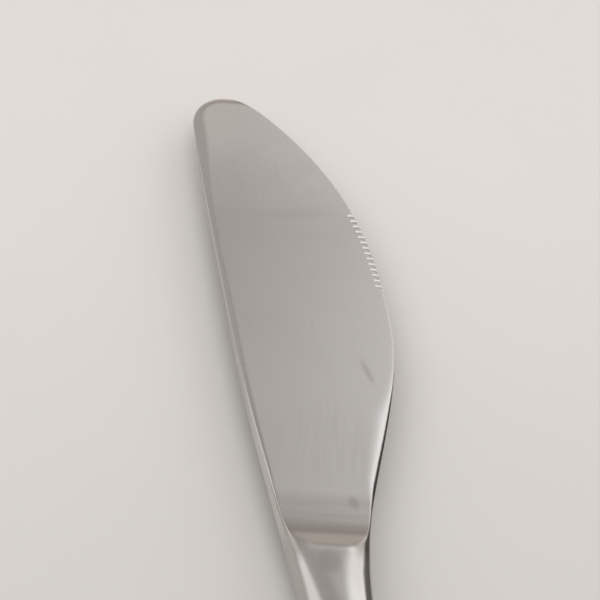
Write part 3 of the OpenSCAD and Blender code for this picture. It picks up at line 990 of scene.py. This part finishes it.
def add_camera(scene, stage):
    """Camera that looks along the blade from above the handle, turned by its heading, elevation and roll."""
    ahead = direction(-stage.heading, -stage.elevation)
    level = np.array((-math.sin(stage.heading), -math.cos(stage.heading), 0))
    upright = np.cross(level, ahead)
    right = level * math.cos(stage.roll) + upright * math.sin(stage.roll)
    up = upright * math.cos(stage.roll) - level * math.sin(stage.roll)
    aim = np.array((shoulder_x() + stage.aim_along, AXIS_Y + stage.aim_across, AXIS_Z))
    camera = bpy.data.objects.new("camera", bpy.data.cameras.new("camera"))
    camera.data.lens = stage.lens
    camera.data.clip_start = stage.clip_start
    place = np.eye(4)
    place[:3] = np.stack([right, up, -ahead, aim - ahead * stage.distance], axis=1)
    camera.matrix_world = Matrix(place)
    scene.collection.objects.link(camera)
    scene.camera = camera


def add_sheet(scene, name, corners, material):
    """A flat stage piece with these corners."""
    mesh = bpy.data.meshes.new(name)
    mesh.from_pydata(corners, [], [tuple(range(len(corners)))])
    mesh.materials.append(material)
    sheet = bpy.data.objects.new(name, mesh)
    scene.collection.objects.link(sheet)
    return sheet


def add_floor(scene, stage):
    """Level floor under the knife."""
    half = stage.floor_width / 2
    corners = [(-half, -half, 0), (half, -half, 0), (half, half, 0), (-half, half, 0)]
    add_sheet(scene, "floor", corners, floor_finish(stage))


def add_flag(scene, stage):
    """A dark strip beside the edge that only reflections show, as a dark line along the heel and neck."""
    start, end = np.array(FLAG_ENDS) + (shoulder_x(), AXIS_Y)
    tops = zip((start, mix(start, end, FLAG_CREST), end), FLAG_HEIGHTS)
    corners = [(*end, 0), (*start, 0), *((*place, height) for place, height in tops)]
    flag = add_sheet(scene, "flag", corners, flag_finish(stage))
    for sight in ("visible_camera", "visible_diffuse", "visible_shadow"):
        setattr(flag, sight, False)


def add_sky(scene, stage):
    """Light from all round: bright beyond the edge and the tip, dim beyond the spine, over a low far wall."""
    scene.world = bpy.data.worlds.new("sky")
    scene.world.use_nodes = True
    t = Finish(scene.world.node_tree)
    along, across, up = t.parts(t.point())
    wall = t.mix_colour(up.step(*WALL_FOOT), stage.horizon, stage.far_wall)
    wall = t.mix_colour(across.step(*WALL_END), wall, stage.left_sky)
    sides = t.mix_colour(across.step(*SPINE_SIDE), stage.far_sky, stage.left_sky)
    far = t.mix_colour(up.step(*WALL_TOP), wall, sides)
    shade = t.mix_colour(along.step(*TIP_END), stage.sky, far)
    shade = t.mix_colour(across.step(*EDGE_SIDE), stage.right_sky, shade)
    background = t.add("ShaderNodeBackground", sockets={"Color": shade, "Strength": 1.0})
    t.add("ShaderNodeOutputWorld", sockets={"Surface": background})


def facing(place, target):
    """Matrix of a thing at a place whose -Z looks at a target, with its X level."""
    back = np.subtract(place, target)
    back = back / np.linalg.norm(back)
    nearly_upright = 0.99
    along = np.cross((0, 0, 1), back) if abs(back[2]) < nearly_upright else np.array((1.0, 0, 0))
    along = along / np.linalg.norm(along)
    matrix = np.eye(4)
    matrix[:3] = np.stack([along, np.cross(back, along), back, place], axis=1)
    return Matrix(matrix)


def add_lamp(scene, name, place, target, size, radiance):
    """A soft box that looks at a target, as bright from everywhere as its radiance says."""
    light = bpy.data.lights.new(name, "AREA")
    light.shape = "RECTANGLE"
    light.size, light.size_y = size
    light.energy = radiance * math.pi * size[0] * size[1]
    lamp = bpy.data.objects.new(name, light)
    lamp.matrix_world = facing(place, target)
    scene.collection.objects.link(lamp)
    return lamp


def add_lamps(scene, stage):
    """Soft boxes: a wide one and a small card beyond the spine, a tall one beyond the edge and one overhead.

    Only reflections show the card, and none shows the one overhead.
    """
    knife = np.array((shoulder_x(), AXIS_Y, AXIS_Z))
    for name, (heading, elevation, distance, *size) in SOFT_BOXES.items():
        place = knife + distance * direction(math.radians(heading), math.radians(elevation))
        lamp = add_lamp(scene, name, place, knife, size, getattr(stage, f"{name}_light"))
        lamp.visible_diffuse = name != "card"
    above = np.array(OVERHEAD_PLACE)
    overhead = add_lamp(scene, "overhead", above, above * (1, 1, 0), OVERHEAD_SIZE, stage.overhead_light)
    overhead.visible_glossy = False


# Operators


class KNIFE_OT_blade(bpy.types.Operator):
    """Builds the forged blade with its ground faces, serrated edge, neck, spigot and tang"""

    bl_idname = "knife.blade"
    bl_label = "Build the blade"

    def execute(self, context):
        scene = context.scene
        rings, satin = blade_rings(scene.blade_sizes, scene.edge_sizes, scene.tang_sizes)
        piece = add_mesh("forged_blade", rings, BLADE_SHARP, satin=satin)
        fit_piece(piece, blade_steel(scene.finishes, scene.wear), "blade_steel", "blade")
        return {"FINISHED"}


class KNIFE_OT_shells(bpy.types.Operator):
    """Builds the two stamped shells of the hollow handle"""

    bl_idname = "knife.shells"
    bl_label = "Build the handle shells"

    def execute(self, context):
        scene = context.scene
        steel = handle_steel(scene.finishes)
        for name, side in (("front", 1), ("back", -1)):
            piece = add_mesh(f"{name}_shell", shell_rings(scene.handle_sizes, side), HANDLE_SHARP)
            fit_piece(piece, steel, "handle_steel", f"{name}_handle_shell")
        return {"FINISHED"}


class KNIFE_OT_filler(bpy.types.Operator):
    """Builds the brazed seam and gives the cement its finish"""

    bl_idname = "knife.filler"
    bl_label = "Build the seam and the cement"

    def execute(self, context):
        scene = context.scene
        seam = add_mesh("seam_strip", seam_rings(scene.handle_sizes), HANDLE_SHARP)
        fit_piece(seam, braze_metal(scene.finishes), "braze", "seam_braze")
        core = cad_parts["cement_core"]
        core.data.materials.clear()
        core.data.materials.append(cement_filler(scene.finishes))
        return {"FINISHED"}


class KNIFE_OT_stage(bpy.types.Operator):
    """Sets the camera, the floor, the soft lights and the sky"""

    bl_idname = "knife.stage"
    bl_label = "Set the stage"

    def execute(self, context):
        for add in (add_camera, add_floor, add_sky, add_lamps, add_flag):
            add(context.scene, context.scene.stage)
        context.scene.view_settings.view_transform = "Standard"
        return {"FINISHED"}


# Panel and registration

OPERATORS = (KNIFE_OT_blade, KNIFE_OT_shells, KNIFE_OT_filler, KNIFE_OT_stage)
GROUPS = {
    "blade_sizes": BladeSizes,
    "edge_sizes": EdgeSizes,
    "tang_sizes": TangSizes,
    "handle_sizes": HandleSizes,
    "finishes": Finishes,
    "wear": WearAndShade,
    "stage": Stage,
}


class KNIFE_PT_panel(bpy.types.Panel):
    """Lists the steps that build the knife, and its sizes and colours"""

    bl_idname = "KNIFE_PT_panel"
    bl_label = "Butter knife"
    bl_space_type = "VIEW_3D"
    bl_region_type = "UI"
    bl_category = "Knife"

    def draw(self, context):
        for operator in OPERATORS:
            self.layout.operator(operator.bl_idname)
        for key, group in GROUPS.items():
            box = self.layout.box()
            for name in group.__annotations__:
                box.prop(getattr(context.scene, key), name)


def register():
    """Registers the classes and gives the scene its sizes, colours and finishes."""
    for made in (*GROUPS.values(), *OPERATORS, KNIFE_PT_panel):
        bpy.utils.register_class(made)
    for key, group in GROUPS.items():
        setattr(bpy.types.Scene, key, bpy.props.PointerProperty(type=group))


def unregister():
    """Takes away what register added."""
    for key in GROUPS:
        delattr(bpy.types.Scene, key)
    for made in (KNIFE_PT_panel, *reversed(OPERATORS), *reversed(GROUPS.values())):
        bpy.utils.unregister_class(made)


def main():
    """Registers the add-on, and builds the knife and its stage."""
    register()
    bpy.ops.knife.blade()
    bpy.ops.knife.shells()
    bpy.ops.knife.filler()
    bpy.ops.knife.stage()
    bpy.context.view_layer.update()


if __name__ == "__main__":
    main()
